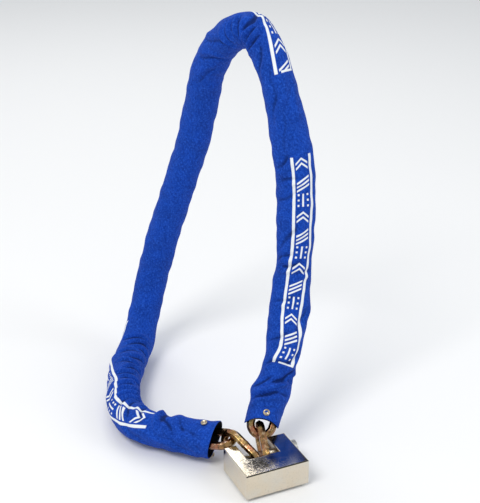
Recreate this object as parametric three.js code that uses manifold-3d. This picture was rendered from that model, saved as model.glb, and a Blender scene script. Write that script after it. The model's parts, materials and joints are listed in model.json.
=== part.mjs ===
// A chain lock: a block padlock with a straight locking bar, a chain of hexagonal-bar links,
// and a woven sleeve riveted to the chain at both mouths. Millimetres, +Z up. The origin is the
// point under the top bend, where whatever holds the chain carries it. X runs along the long
// side of the padlock and along its bar, and Y points from the padlock's front to its notch.
import * as THREE from 'three';
import { mergeVertices } from 'three/addons/utils/BufferGeometryUtils.js';
import Module from 'manifold-3d';

const wasm = await Module();
wasm.setup();

const radians = THREE.MathUtils.degToRad;
const RIGHT = 1;
const LEFT = -1;

// ---- Driving dimensions ----
const CLEARANCE = 0.3; // between pieces that touch on the real object

// Chain
const LINK_FLATS = 8.8; // hexagonal bar, across flats
const LINK_COUNT = 32; // links between the two that hook the bar
const LINK_PLAY = 1; // slack in each joint of the chain
const BAR_IN_LINK = 2.4; // radial clearance of the locking bar in a link's slot
const ARC_STEPS = 7; // segments in each round end of a link

// End links, which hook the bar and lean apart from there
const END_RISE = radians(25);
const END_LEAN = { [RIGHT]: radians(15), [LEFT]: radians(24) };
const HOOK_SLACK = 1.2; // the bar stands this far in from the slot's round end
const HOOK_GAP = 0.47; // between the two links' fronts, along the bar
const HOOK_ROOM = 0.8; // between each link and its side of the notch
const END_SHARE = 0.4; // how far the last joints hinge about the end links' crowns
const END_ROLL = { [RIGHT]: radians(-5), [LEFT]: radians(8) }; // of the links they hold

// Sleeve
const SLEEVE_ROOM = 2.7; // between the links' crowns and its lining
const SLEEVE_WALL = 1.5;
const SLEEVE_SIDES = 18;
const SLEEVE_STEPS = 72;
const MOUTH = { [RIGHT]: 13, [LEFT]: 20 }; // from the last joint along the route
const RIVET_INSET = 9.3; // from each mouth
const RIVET_SHANK = 2; // radius
const RIVET_HEAD = 4.2; // radius
const RIVET_DOME = 1.8; // height of a head

// Padlock block
const BLOCK_LENGTH = 80;
const BLOCK_DEPTH = 64;
const BLOCK_HEIGHT = 32;
const BLOCK_EDGE = 1.2;
const NOTCH_ROOM = 1.3; // between the links and the notch's front wall
const NOTCH_LEFT = 16; // from the block's left face
const BAR_TO_BACK = 11.5; // bar axis to the block's back face

// Locking bar, with the cylinder in its head
const BAR_RADIUS = 6;
const BAR_RUNNING = 0.35; // radial clearance in its bores
const BAR_GRIP = 11; // how deep its tip stands in the left bore
const BORE_BOTTOM = 1.5; // room past the tip
const HEAD_RADIUS = 9;
const HEAD_SEAT = 18; // depth of the head's counterbore
const HEAD_PROUD = 9.5; // how far the head stands out
const CORE_RADIUS = 6.3;
const CORE_FACE = 2; // end wall of the core, behind the discs
const CORE_WALL = 1.2;
const DISC_COUNT = 6;
const DISC_THICK = 1.4;
const GUARD_THICK = 1.6;
const COLLAR_THICK = 1.2;
const COLLAR_INNER = 4.6; // radius
const KEYWAY_WIDTH = 2;
const KEYWAY_HEIGHT = 6;
const SIDE_BAR_WIDTH = 1.4;
const SIDE_BAR_DEPTH = 1.6;
const DISC_NOTCH = 0.8; // depth of the notch in each disc that the side bar drops into
const CAM_THICK = 4;
const LUG_WIDTH = 4;
const LUG_REACH = 2.6; // past the head's radius
const LUG_TURN = Math.PI / 2;
const SEAL_RADIUS = 0.8;
const ROUND_SIDES = 32;

// The bar's axis, midway between the two links that hook it.
const HANG = new THREE.Vector3(-84.4, -185.5, -439);

// The chain's centre line between its two last joints: from the right one up over the top,
// down to the floor, and round to the left one.
const ROUTE = [
  [-50, -144, -399], [-31, -128, -373], [-13, -112, -344], [1, -97, -311],
  [11, -85, -275], [18, -76, -238], [23, -70, -200], [25, -65, -162], [24, -60, -124],
  [19, -54, -87], [14, -48, -53], [9, -39, -22], [5, -23, 6], [0, 0, 24],
  [-7, 27, 20], [-14, 53, 4], [-20, 75, -19], [-24, 92, -48], [-26, 104, -84],
  [-30, 114, -121], [-36, 123, -158], [-45, 132, -195], [-54, 140, -232], [-64, 147, -269],
  [-73, 153, -306], [-82, 157, -343], [-92, 155, -378], [-105, 144, -408], [-122, 123, -428],
  [-142, 93, -434], [-161, 60, -434], [-177, 26, -434], [-189, -9, -434], [-193, -42, -434],
  [-185, -73, -434], [-164, -99, -434], [-142, -121, -433], [-123, -141, -430],
].map((p) => new THREE.Vector3(...p));

// ---- Derived sizes ----
const X = new THREE.Vector3(1, 0, 0);
const Z = new THREE.Vector3(0, 0, 1);
const CORNER = LINK_FLATS / Math.sqrt(3); // bar centre to a corner of the hexagon
const LINK_INNER = BAR_RADIUS + BAR_IN_LINK; // radius of the slot's round end
const LINK_ARC = LINK_INNER + CORNER; // radius of the bar's centre line there
const LINK_OUTER = LINK_ARC + CORNER;
const hookReach = (side) => (LINK_ARC + HOOK_SLACK) * Math.sin(END_LEAN[side]) + CORNER;
const HOOK_SPACING = hookReach(LEFT) + HOOK_GAP + hookReach(RIGHT); // of the links on the bar
const SLEEVE_INNER = LINK_OUTER + SLEEVE_ROOM;
const SLEEVE_OUTER = SLEEVE_INNER + SLEEVE_WALL;

// ---- Materials ----
const finish = (color, roughness, metalness) =>
  new THREE.MeshStandardMaterial({ color, roughness, metalness });
const NICKEL = finish(0xc9c2b4, 0.25, 1);
const BAR_STEEL = finish(0xbdb9b0, 0.3, 1);
const GOLD_ZINC = finish(0xb58a4a, 0.35, 1);
const BLUE_WEAVE = finish(0x1744a7, 0.85, 0);
const BRASS = finish(0xb08f4f, 0.4, 1);
const RIVET_METAL = finish(0xa9a08a, 0.4, 1);
const RUBBER = finish(0x151515, 0.9, 0);

// ---- Solids and booleans ----
function toSolid(geometry) {
  const bare = geometry.clone();
  bare.deleteAttribute('normal');
  bare.deleteAttribute('uv');
  const merged = mergeVertices(bare, 1e-4);
  return new wasm.Manifold(new wasm.Mesh({
    numProp: 3,
    vertProperties: new Float32Array(merged.attributes.position.array),
    triVerts: new Uint32Array(merged.index.array),
  }));
}

function toGeometry(solid) {
  const mesh = solid.getMesh();
  const geometry = new THREE.BufferGeometry();
  geometry.setAttribute('position', new THREE.BufferAttribute(mesh.vertProperties, 3));
  geometry.setIndex(new THREE.BufferAttribute(mesh.triVerts, 1));
  geometry.computeVertexNormals();
  return geometry;
}

// Cuts every tool from the stock, and gives the geometry of what is left.
function cut(stock, tools) {
  let solid = toSolid(stock);
  for (const tool of tools) {
    solid = solid.subtract(toSolid(tool));
  }
  return toGeometry(solid);
}

// Joins closed geometries into one.
function join(parts) {
  let solid = toSolid(parts[0]);
  for (const part of parts.slice(1)) {
    solid = solid.add(toSolid(part));
  }
  return toGeometry(solid);
}

// A cylinder along X from x0 to x1, about the bar's axis.
function rod(radius, x0, x1) {
  const geometry = new THREE.CylinderGeometry(radius, radius, x1 - x0, ROUND_SIDES);
  geometry.rotateZ(-Math.PI / 2);
  return geometry.translate((x0 + x1) / 2, 0, 0);
}

function box(x0, x1, y0, y1, z0, z1) {
  const geometry = new THREE.BoxGeometry(x1 - x0, y1 - y0, z1 - z0);
  return geometry.translate((x0 + x1) / 2, (y0 + y1) / 2, (z0 + z1) / 2);
}

function named(name, geometry, material) {
  const mesh = new THREE.Mesh(geometry, material);
  mesh.name = name;
  return mesh;
}

// ---- One link ----
// A closed ring of equal sections: each row of corners is joined to the next, and the last to
// the first.
function ringGeometry(rows) {
  const sides = rows[0].length;
  const index = [];
  rows.forEach((_, i) => {
    const here = i * sides;
    const next = ((i + 1) % rows.length) * sides;
    for (let j = 0; j < sides; j += 1) {
      const k = (j + 1) % sides;
      index.push(here + j, next + k, here + k, here + j, next + j, next + k);
    }
  });
  const geometry = new THREE.BufferGeometry();
  geometry.setAttribute('position', new THREE.Float32BufferAttribute(rows.flat(2), 3));
  geometry.setIndex(index);
  geometry.computeVertexNormals();
  return geometry;
}

// The six corners of the bar where its centre line stands at an angle round an arc's centre.
function hexagonAt(centre, turn) {
  const corners = [];
  for (let k = 0; k < 6; k += 1) {
    const angle = k * Math.PI / 3;
    const radius = LINK_ARC + CORNER * Math.cos(angle);
    corners.push([
      centre + radius * Math.cos(turn), radius * Math.sin(turn), CORNER * Math.sin(angle),
    ]);
  }
  return corners;
}

// A link in its own frame: X is its long axis, Y runs along its crowns, and the hexagonal bar
// is carried round two half circles, a span apart.
function linkGeometry(span) {
  const rows = [];
  for (const end of [RIGHT, LEFT]) {
    const start = end === RIGHT ? -Math.PI / 2 : Math.PI / 2;
    for (let i = 0; i <= ARC_STEPS; i += 1) {
      rows.push(hexagonAt(end * span / 2, start + Math.PI * i / ARC_STEPS));
    }
  }
  return ringGeometry(rows);
}

// ---- The chain along its route ----
// Two links hinge about the crown of one or of the other, whichever their bend calls for. A
// joint's share is 1 where that is the crown of the link before it, and 0 for the link after.
const SLACK = LINK_PLAY / 2;
const before = (share) => share * LINK_ARC + (1 - share) * SLACK;
const after = (share) => share * SLACK + (1 - share) * LINK_ARC;

// The direction of an end link, from the bar up to the chain.
function endAxis(side) {
  const flat = Math.cos(END_RISE);
  const lean = END_LEAN[side];
  return new THREE.Vector3(side * flat * Math.sin(lean), flat * Math.cos(lean), Math.sin(END_RISE));
}

// An end link stands upright, so its normal is level.
const endNormal = (side) => endAxis(side).cross(Z).normalize();

// The joint between an end link and the chain, for links of a span.
function lastJoint(side, span) {
  const reach = before(END_SHARE) + span - HOOK_SLACK;
  return HANG.clone()
    .addScaledVector(X, side * HOOK_SPACING / 2)
    .addScaledVector(endAxis(side), reach);
}

// The route from one last joint to the other.
function routeFor(span) {
  const points = [lastJoint(RIGHT, span), ...ROUTE, lastJoint(LEFT, span)];
  const route = new THREE.CatmullRomCurve3(points, false, 'catmullrom', 0.5);
  route.arcLengthDivisions = 4000;
  return route;
}

// The next point on the route at a straight distance from a point on it, as [point, place].
function stepAlong(route, point, place, distance) {
  let low = place;
  let high = Math.min(1, place + 1.8 * distance / route.getLength());
  if (point.distanceTo(route.getPointAt(high)) < distance) {
    return null;
  }
  for (let i = 0; i < 30; i += 1) {
    const middle = (low + high) / 2;
    if (point.distanceTo(route.getPointAt(middle)) < distance) {
      low = middle;
    } else {
      high = middle;
    }
  }
  return [route.getPointAt(low), low];
}

// The joints of the chain for links of one span, or null if the route is too short for them.
function walk(route, span, shares) {
  const joints = [route.getPointAt(0)];
  let place = 0;
  for (let i = 0; i < LINK_COUNT; i += 1) {
    const step = after(shares[i]) + span + before(shares[i + 1]);
    const found = stepAlong(route, joints[i], place, step);
    if (!found) {
      return null;
    }
    joints.push(found[0]);
    place = found[1];
  }
  return joints;
}

// The longest links that the route has room for, and where their joints stand.
function fillRoute(route, shares) {
  let low = 0;
  let high = 2 * route.getLength() / LINK_COUNT;
  for (let i = 0; i < 30; i += 1) {
    const middle = (low + high) / 2;
    if (walk(route, middle, shares)) {
      low = middle;
    } else {
      high = middle;
    }
  }
  const joints = walk(route, low, shares);
  joints[LINK_COUNT] = route.getPointAt(1);
  return { span: low, joints };
}

// The part of a direction that is square to an axis.
function squareTo(direction, axis) {
  return direction.clone().addScaledVector(axis, -direction.dot(axis)).normalize();
}

// The angle from one direction to another about an axis, both square to it.
function angleAbout(axis, from, to) {
  return Math.atan2(axis.dot(from.clone().cross(to)), from.dot(to));
}

const toNearest = (angle, step) => angle - step * Math.round(angle / step);

// The bend at each joint: its angle, and the direction it turns about.
function bendsOf(axes) {
  return axes.slice(1).map((axis, i) => {
    const about = axes[i].clone().cross(axis);
    return { angle: Math.asin(Math.min(1, about.length())), about: about.normalize() };
  });
}

// How far each link is rolled about its axis. Links alternate by a quarter turn. From there
// each takes up a little of the twist between the two ends, and settles where its bends lie in
// its own plane or square to it.
function settleRolls(axes, carried, bends) {
  const last = LINK_COUNT - 1;
  const goal = squareTo(endNormal(LEFT), axes[last]);
  const quarters = last * Math.PI / 2;
  const twist = angleAbout(axes[last], carried[last], goal) + END_ROLL[LEFT] - quarters;
  const spread = toNearest(twist - END_ROLL[RIGHT], Math.PI);
  const rolls = axes.map((_, i) => END_ROLL[RIGHT] + spread * i / last);
  const firm = bends.map((bend) => 8 * Math.min(1, (bend.angle / radians(25)) ** 2));
  for (let pass = 0; pass < 400; pass += 1) {
    for (let i = 1; i < last; i += 1) {
      const bend = bends[i - 1];
      const flat = squareTo(bend.about, axes[i]);
      const offset = toNearest(angleAbout(axes[i], carried[i], flat) - rolls[i], Math.PI / 2);
      const pull = firm[i - 1];
      rolls[i] = (rolls[i - 1] + rolls[i + 1] + pull * (rolls[i] + offset)) / (2 + pull);
    }
  }
  return rolls.map((roll, i) => roll + i * Math.PI / 2);
}

// Each link's axis, the direction across it, and its normal.
function frameLinks(joints) {
  const axes = joints.slice(1).map((joint, i) => joint.clone().sub(joints[i]).normalize());
  const carried = [squareTo(endNormal(RIGHT), axes[0])];
  for (let i = 1; i < LINK_COUNT; i += 1) {
    const turn = new THREE.Quaternion().setFromUnitVectors(axes[i - 1], axes[i]);
    carried.push(squareTo(carried[i - 1].clone().applyQuaternion(turn), axes[i]));
  }
  const bends = bendsOf(axes);
  const rolls = settleRolls(axes, carried, bends);
  const frames = axes.map((axis, i) => {
    const across = carried[i].clone().applyAxisAngle(axis, rolls[i]);
    return { axis, across, normal: axis.clone().cross(across) };
  });
  return { frames, bends };
}

// The share of each inner joint: it hinges about the link that the bend leaves edge on.
function sharesFor(frames, bends) {
  return bends.map((bend, i) => {
    const first = bend.about.dot(frames[i].normal) ** 2;
    const second = bend.about.dot(frames[i + 1].normal) ** 2;
    const wanted = second / (first + second);
    return 0.5 + (wanted - 0.5) * THREE.MathUtils.smoothstep(bend.angle, radians(2), radians(9));
  });
}

// Links, joints and hinges settle together in a few rounds.
function settleChain() {
  let shares = new Array(LINK_COUNT + 1).fill(0.5);
  shares[0] = END_SHARE;
  shares[LINK_COUNT] = 1 - END_SHARE;
  let span = 3 * LINK_FLATS;
  let settled;
  for (let round = 0; round < 12; round += 1) {
    const route = routeFor(span);
    const filled = fillRoute(route, shares);
    const { frames, bends } = frameLinks(filled.joints);
    settled = { ...filled, route, frames, shares };
    span = filled.span;
    const wanted = [shares[0], ...sharesFor(frames, bends), shares[LINK_COUNT]];
    shares = shares.map((share, i) => (share + wanted[i]) / 2);
  }
  return settled;
}

const chain = settleChain();
const linkShape = linkGeometry(chain.span);

// A link at a frame, with one of its arc centres' midpoints at a centre.
function placeLink(name, frame, centre) {
  const place = new THREE.Matrix4().makeBasis(frame.axis, frame.across, frame.normal);
  const mesh = named(name, linkShape, GOLD_ZINC);
  mesh.applyMatrix4(place.setPosition(centre));
  return mesh;
}

function makeChain() {
  const group = new THREE.Group();
  chain.frames.forEach((frame, i) => {
    const inset = after(chain.shares[i]) + chain.span / 2;
    const centre = chain.joints[i].clone().addScaledVector(frame.axis, inset);
    group.add(placeLink(`chain_link_${String(i + 1).padStart(2, '0')}`, frame, centre));
  });
  return group;
}

// ---- End links ----
function makeEndLink(name, side) {
  const axis = endAxis(side);
  const normal = endNormal(side);
  const across = normal.clone().cross(axis);
  const inset = before(END_SHARE) + chain.span / 2;
  const centre = lastJoint(side, chain.span).addScaledVector(axis, -inset);
  return placeLink(name, { axis, across, normal }, centre);
}

// ---- Sleeve ----
// The stretch of the route between the sleeve's two mouths.
class SleevePath extends THREE.Curve {
  getPoint(t) {
    const length = chain.route.getLength();
    const from = MOUTH[RIGHT] / length;
    const to = 1 - MOUTH[LEFT] / length;
    return chain.route.getPointAt(from + (to - from) * t);
  }
}

// Where a rivet crosses the chain: through the slot of the link in the mouth, along its normal.
function rivetFrame(side) {
  const frame = chain.frames[side === RIGHT ? 0 : LINK_COUNT - 1];
  const inset = (MOUTH[side] + RIVET_INSET) / chain.route.getLength();
  const centre = chain.route.getPointAt(side === RIGHT ? inset : 1 - inset);
  const normal = frame.normal.clone().multiplyScalar(Math.sign(-frame.normal.y));
  return { centre, normal };
}

// Turns a geometry built along +Y to point along a rivet.
function alongRivet(geometry, side) {
  const { centre, normal } = rivetFrame(side);
  const turn = new THREE.Quaternion().setFromUnitVectors(new THREE.Vector3(0, 1, 0), normal);
  return geometry.applyQuaternion(turn).translate(centre.x, centre.y, centre.z);
}

function makeSleeve() {
  const section = new THREE.Shape();
  section.absarc(0, 0, SLEEVE_OUTER, 0, 2 * Math.PI);
  const hollow = new THREE.Path();
  hollow.absarc(0, 0, SLEEVE_INNER, 0, 2 * Math.PI);
  section.holes.push(hollow);
  const tube = new THREE.ExtrudeGeometry(section, {
    steps: SLEEVE_STEPS,
    curveSegments: SLEEVE_SIDES / 2,
    extrudePath: new SleevePath(),
  });
  const holes = [RIGHT, LEFT].map((side) => {
    const drill = new THREE.CylinderGeometry(
      RIVET_SHANK + CLEARANCE, RIVET_SHANK + CLEARANCE, 3 * SLEEVE_OUTER, 12,
    );
    return alongRivet(drill, side);
  });
  return named('sleeve', cut(tube, holes), BLUE_WEAVE);
}

// A rivet's head: a low dome that stands on the sleeve.
function domeGeometry(seat) {
  const profile = [new THREE.Vector2(0, seat), new THREE.Vector2(RIVET_HEAD, seat)];
  for (let i = 1; i <= 5; i += 1) {
    const angle = (Math.PI / 2) * (i / 5);
    const height = seat + RIVET_DOME * (0.3 + 0.7 * Math.sin(angle));
    profile.push(new THREE.Vector2(i === 5 ? 0 : RIVET_HEAD * Math.cos(angle), height));
  }
  return new THREE.LatheGeometry(profile, 16);
}

function makeRivet(side, label) {
  const seat = SLEEVE_OUTER + 2 * CLEARANCE;
  const shank = new THREE.CylinderGeometry(RIVET_SHANK, RIVET_SHANK, 2 * seat + 0.2, 12);
  shank.translate(0, 0.1, 0);
  const post = join([shank, domeGeometry(seat)]);
  const cap = cut(domeGeometry(seat + CLEARANCE).rotateX(Math.PI), []);
  const group = new THREE.Group();
  group.add(named(`sleeve_rivet_${label}`, alongRivet(post, side), RIVET_METAL));
  group.add(named(`sleeve_rivet_${label}_cap`, alongRivet(cap, side), RIVET_METAL));
  return group;
}

// ---- Padlock ----
// Its own frame has X along the bar's axis, from the block's left face, and that axis at y = 0
// and z = 0.
const BLOCK_BACK = BAR_TO_BACK;
const BLOCK_FRONT = BLOCK_BACK - BLOCK_DEPTH;
const NOTCH_FRONT = -(LINK_OUTER + HOOK_SLACK + NOTCH_ROOM);
const HOOK_LEFT = NOTCH_LEFT + wallRoom(LEFT); // where the left link hooks the bar
const NOTCH_RIGHT = HOOK_LEFT + HOOK_SPACING + wallRoom(RIGHT);
const TIP = NOTCH_LEFT - BAR_GRIP;
const SEAT = BLOCK_LENGTH - HEAD_SEAT; // bottom of the head's counterbore
const HEAD_START = SEAT + CLEARANCE;
const HEAD_END = BLOCK_LENGTH + HEAD_PROUD;
const COLLAR_START = HEAD_END - COLLAR_THICK - CLEARANCE;
const GUARD_START = COLLAR_START - CLEARANCE - GUARD_THICK;
const DISC_PITCH = DISC_THICK + CLEARANCE;
const CORE_END = GUARD_START - CLEARANCE;
const CORE_START = CORE_END - DISC_COUNT * DISC_PITCH - CLEARANCE - CORE_FACE;
const CAM_END = CORE_START - CLEARANCE;
const CAM_START = CAM_END - CAM_THICK;
const CORE_BORE = CORE_RADIUS + CLEARANCE;
const DISC_RADIUS = CORE_RADIUS - CORE_WALL - CLEARANCE;
const LUG_TIP = HEAD_RADIUS + LUG_REACH;

// How far a link's hook must stand from its side of the notch, for its lean to clear the edge.
function wallRoom(side) {
  const lean = END_LEAN[side];
  return BAR_TO_BACK * Math.tan(lean) + CORNER / Math.cos(lean) + HOOK_ROOM;
}

// The block's outline seen from above, with the notch open to the back.
function blockOutline() {
  const outline = new THREE.Shape();
  outline.moveTo(0, BLOCK_FRONT);
  outline.lineTo(BLOCK_LENGTH, BLOCK_FRONT);
  outline.lineTo(BLOCK_LENGTH, BLOCK_BACK);
  outline.lineTo(NOTCH_RIGHT, BLOCK_BACK);
  outline.lineTo(NOTCH_RIGHT, NOTCH_FRONT);
  outline.lineTo(NOTCH_LEFT, NOTCH_FRONT);
  outline.lineTo(NOTCH_LEFT, BLOCK_BACK);
  outline.lineTo(0, BLOCK_BACK);
  outline.closePath();
  return outline;
}

// A slice of a cylinder about the bar's axis, from one angle to another, where 0 is along +Y
// and angles run towards +Z.
function sector(radius, x0, x1, from, to) {
  const shape = new THREE.Shape();
  shape.moveTo(0, 0);
  shape.lineTo(radius * Math.cos(from), radius * Math.sin(from));
  shape.absarc(0, 0, radius, from, to);
  shape.closePath();
  const geometry = new THREE.ExtrudeGeometry(shape, {
    depth: x1 - x0, bevelEnabled: false, curveSegments: 10,
  });
  const place = new THREE.Matrix4().set(0, 0, 1, x0, 1, 0, 0, 0, 0, 1, 0, 0, 0, 0, 0, 1);
  return geometry.applyMatrix4(place);
}

function makeBlock() {
  const stock = new THREE.ExtrudeGeometry(blockOutline(), {
    depth: BLOCK_HEIGHT - 2 * BLOCK_EDGE,
    bevelThickness: BLOCK_EDGE,
    bevelSize: BLOCK_EDGE,
    bevelOffset: -BLOCK_EDGE,
    bevelSegments: 2,
    curveSegments: 1,
  });
  stock.translate(0, 0, BLOCK_EDGE - BLOCK_HEIGHT / 2);
  const channel = LUG_WIDTH / 2 + CLEARANCE;
  const sweep = Math.asin(channel / LUG_TIP);
  const groove = LUG_TIP + 2 * CLEARANCE;
  return named('lock_body', cut(stock, [
    rod(BAR_RADIUS + BAR_RUNNING, TIP - BORE_BOTTOM, NOTCH_LEFT + 1),
    rod(BAR_RADIUS + BAR_RUNNING, NOTCH_RIGHT - 1, SEAT + 1),
    rod(HEAD_RADIUS + BAR_RUNNING, SEAT, BLOCK_LENGTH + 1),
    box(CAM_START - CLEARANCE, BLOCK_LENGTH + 1, -groove, 0, -channel, channel),
    sector(groove, CAM_START - CLEARANCE, CAM_END + CLEARANCE,
      Math.PI - sweep, Math.PI + LUG_TURN + 2 * sweep),
  ]), NICKEL);
}

function makeBar() {
  const stock = join([
    rod(BAR_RADIUS, TIP, HEAD_START + 1),
    rod(HEAD_RADIUS, HEAD_START, HEAD_END),
  ]);
  const sweep = Math.asin((LUG_WIDTH / 2 + CLEARANCE) / CORE_BORE);
  const sideRoom = SIDE_BAR_WIDTH / 2 + CLEARANCE;
  return named('locking_bar', cut(stock, [
    rod(CORE_BORE, CAM_START - CLEARANCE, COLLAR_START - CLEARANCE),
    rod(CORE_BORE + 0.7, COLLAR_START - CLEARANCE, COLLAR_START + COLLAR_THICK + CLEARANCE),
    rod(COLLAR_INNER + 1.2, COLLAR_START, HEAD_END + 1),
    sector(HEAD_RADIUS + 1, CAM_START - CLEARANCE, CAM_END + CLEARANCE,
      Math.PI - sweep, Math.PI + LUG_TURN + sweep),
    box(CORE_START, CORE_END, -(CORE_BORE + DISC_NOTCH), 0, -sideRoom, sideRoom),
    sealGroove(),
  ]), BAR_STEEL);
}

// The groove round the head that the seal lies in.
const SEAL_AT = HEAD_END - HEAD_PROUD - 3;

function sealGroove() {
  const width = SEAL_RADIUS + CLEARANCE;
  return cut(rod(HEAD_RADIUS + 1, SEAL_AT - width, SEAL_AT + width), [
    rod(HEAD_RADIUS - 2 * SEAL_RADIUS - CLEARANCE, SEAL_AT - 2 * width, SEAL_AT + 2 * width),
  ]);
}

function makeSeal() {
  const geometry = new THREE.TorusGeometry(HEAD_RADIUS - SEAL_RADIUS, SEAL_RADIUS, 8, ROUND_SIDES);
  geometry.rotateY(Math.PI / 2);
  return named('head_seal', geometry.translate(SEAL_AT, 0, 0), RUBBER);
}

// The slot for the key, upright, from x0 to x1.
const keySlot = (x0, x1) =>
  box(x0, x1, -KEYWAY_WIDTH / 2, KEYWAY_WIDTH / 2, -KEYWAY_HEIGHT / 2, KEYWAY_HEIGHT / 2);

function makeCore() {
  const sideRoom = SIDE_BAR_WIDTH / 2 + CLEARANCE;
  return named('cylinder_core', cut(rod(CORE_RADIUS, CORE_START, CORE_END), [
    rod(CORE_RADIUS - CORE_WALL, CORE_START + CORE_FACE, CORE_END + 1),
    box(CORE_START + CORE_FACE, CORE_END + 1, -sideRoom, sideRoom, 0, CORE_RADIUS + 1),
  ]), BRASS);
}

function makeDisc(i) {
  const start = CORE_START + CORE_FACE + CLEARANCE + i * DISC_PITCH;
  const end = start + DISC_THICK;
  const notch = SIDE_BAR_WIDTH / 2 + CLEARANCE;
  return named(`disc_${i + 1}`, cut(rod(DISC_RADIUS, start, end), [
    keySlot(start - 1, end + 1),
    box(start - 1, end + 1, -notch, notch, DISC_RADIUS - DISC_NOTCH, DISC_RADIUS + 1),
  ]), BRASS);
}

// The bar across the discs. The key has lined up their notches, so it lies inside the core. A
// quarter turn further on, it springs out into the groove in the head and locks the core.
function makeSideBar() {
  const top = CORE_RADIUS - CLEARANCE / 2;
  const bottom = top - SIDE_BAR_DEPTH;
  const half = SIDE_BAR_WIDTH / 2;
  const start = CORE_START + CORE_FACE + CLEARANCE;
  return named('side_bar', box(start, CORE_END - CLEARANCE, -half, half, bottom, top), BRASS);
}

function makeGuard() {
  const end = GUARD_START + GUARD_THICK;
  return named('drill_guard', cut(rod(CORE_RADIUS, GUARD_START, end), [
    keySlot(GUARD_START - 1, end + 1),
  ]), BAR_STEEL);
}

// The ring that keeps the cylinder in the head.
function makeCollar() {
  const end = COLLAR_START + COLLAR_THICK;
  return named('cylinder_collar', cut(rod(CORE_BORE + 0.4, COLLAR_START, end), [
    rod(COLLAR_INNER, COLLAR_START - 1, end + 1),
  ]), BAR_STEEL);
}

// The cam turns with the core, and its lug locks behind the groove in the block.
function makeCam() {
  const half = LUG_WIDTH / 2;
  return named('locking_cam', join([
    rod(CORE_RADIUS, CAM_START, CAM_END),
    box(CAM_START, CAM_END, -LUG_TIP, 0, -half, half),
  ]), BAR_STEEL);
}

// The block stands so that both end links hook the bar in their places.
function makePadlock() {
  const group = new THREE.Group();
  group.add(makeBlock(), makeBar(), makeSeal(), makeCore(), makeGuard(), makeCollar(), makeCam());
  for (let i = 0; i < DISC_COUNT; i += 1) {
    group.add(makeDisc(i));
  }
  group.add(makeSideBar());
  group.position.copy(HANG).addScaledVector(X, -(HOOK_LEFT + HOOK_SPACING / 2));
  return group;
}

// ---- The whole lock ----
const lock = new THREE.Group();
lock.add(
  makeSleeve(),
  makeRivet(RIGHT, 'right'),
  makeRivet(LEFT, 'left'),
  makeChain(),
  makeEndLink('end_link_right', RIGHT),
  makeEndLink('end_link_left', LEFT),
  makePadlock(),
);

export default lock;
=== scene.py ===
"""The looks of a chain lock: nickel-plated block padlock, yellow-plated chain, blue woven sleeve."""

import json

import bpy
import numpy as np
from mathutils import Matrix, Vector

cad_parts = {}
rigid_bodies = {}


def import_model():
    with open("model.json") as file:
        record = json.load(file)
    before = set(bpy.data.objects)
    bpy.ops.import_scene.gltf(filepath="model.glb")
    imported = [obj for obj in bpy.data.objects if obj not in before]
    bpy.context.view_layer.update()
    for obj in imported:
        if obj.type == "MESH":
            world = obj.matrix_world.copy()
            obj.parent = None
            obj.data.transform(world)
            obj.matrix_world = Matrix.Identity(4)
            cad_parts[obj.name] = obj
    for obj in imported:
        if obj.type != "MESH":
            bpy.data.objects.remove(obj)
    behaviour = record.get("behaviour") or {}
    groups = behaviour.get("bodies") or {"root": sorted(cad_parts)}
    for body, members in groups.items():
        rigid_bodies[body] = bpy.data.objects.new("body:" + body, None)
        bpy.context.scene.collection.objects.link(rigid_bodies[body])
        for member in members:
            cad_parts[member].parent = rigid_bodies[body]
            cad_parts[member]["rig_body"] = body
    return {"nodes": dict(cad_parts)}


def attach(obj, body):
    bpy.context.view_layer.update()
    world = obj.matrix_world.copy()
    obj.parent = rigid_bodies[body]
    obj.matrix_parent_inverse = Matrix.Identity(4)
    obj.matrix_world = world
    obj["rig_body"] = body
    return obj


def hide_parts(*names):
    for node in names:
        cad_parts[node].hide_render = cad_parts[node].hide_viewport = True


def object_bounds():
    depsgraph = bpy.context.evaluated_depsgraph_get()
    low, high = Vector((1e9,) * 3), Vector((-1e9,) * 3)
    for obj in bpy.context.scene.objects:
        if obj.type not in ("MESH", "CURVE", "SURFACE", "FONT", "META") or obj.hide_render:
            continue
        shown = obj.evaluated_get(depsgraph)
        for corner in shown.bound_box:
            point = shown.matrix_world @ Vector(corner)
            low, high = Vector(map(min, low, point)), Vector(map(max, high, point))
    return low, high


bl_info = {
    "name": "Chain lock",
    "version": (1, 0, 0),
    "blender": (4, 5, 0),
    "location": "3D View > Sidebar > Chain lock",
    "description": "Builds the woven sleeve, links, rivets and padlock of a chain lock",
    "category": "Object",
}

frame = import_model()
CAD_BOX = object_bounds()

MM = 0.001
LINK_COUNT = 32
SIDES = ("right", "left")

# The chain's centre line in millimetres, from the last joint on the right, up over the top
# bend, down to the floor and round to the last joint on the left.
ROUTE = MM * np.array([
    [-66.38, -156.31, -424.91], [-50, -144, -399], [-31, -128, -373], [-13, -112, -344],
    [1, -97, -311], [11, -85, -275], [18, -76, -238], [23, -70, -200], [25, -65, -162],
    [24, -60, -124], [19, -54, -87], [14, -48, -53], [9, -39, -22], [5, -23, 6], [0, 0, 24],
    [-7, 27, 20], [-14, 53, 4], [-20, 75, -19], [-24, 92, -48], [-26, 104, -84],
    [-30, 114, -121], [-36, 123, -158], [-45, 132, -195], [-54, 140, -232],
    [-64, 147, -269], [-73, 153, -306], [-82, 157, -343], [-92, 155, -378],
    [-105, 144, -408], [-122, 123, -428], [-142, 93, -434], [-161, 60, -434],
    [-177, 26, -434], [-189, -9, -434], [-193, -42, -434], [-185, -73, -434],
    [-164, -99, -434], [-142, -121, -433], [-123, -141, -430],
    [-106.89, -157.90, -424.91],
])

# Places along the sleeve are in millimetres from the last joint on the right. Angles round it
# are in degrees from the +X side, and grow the way a right-hand screw along it turns.

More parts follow.
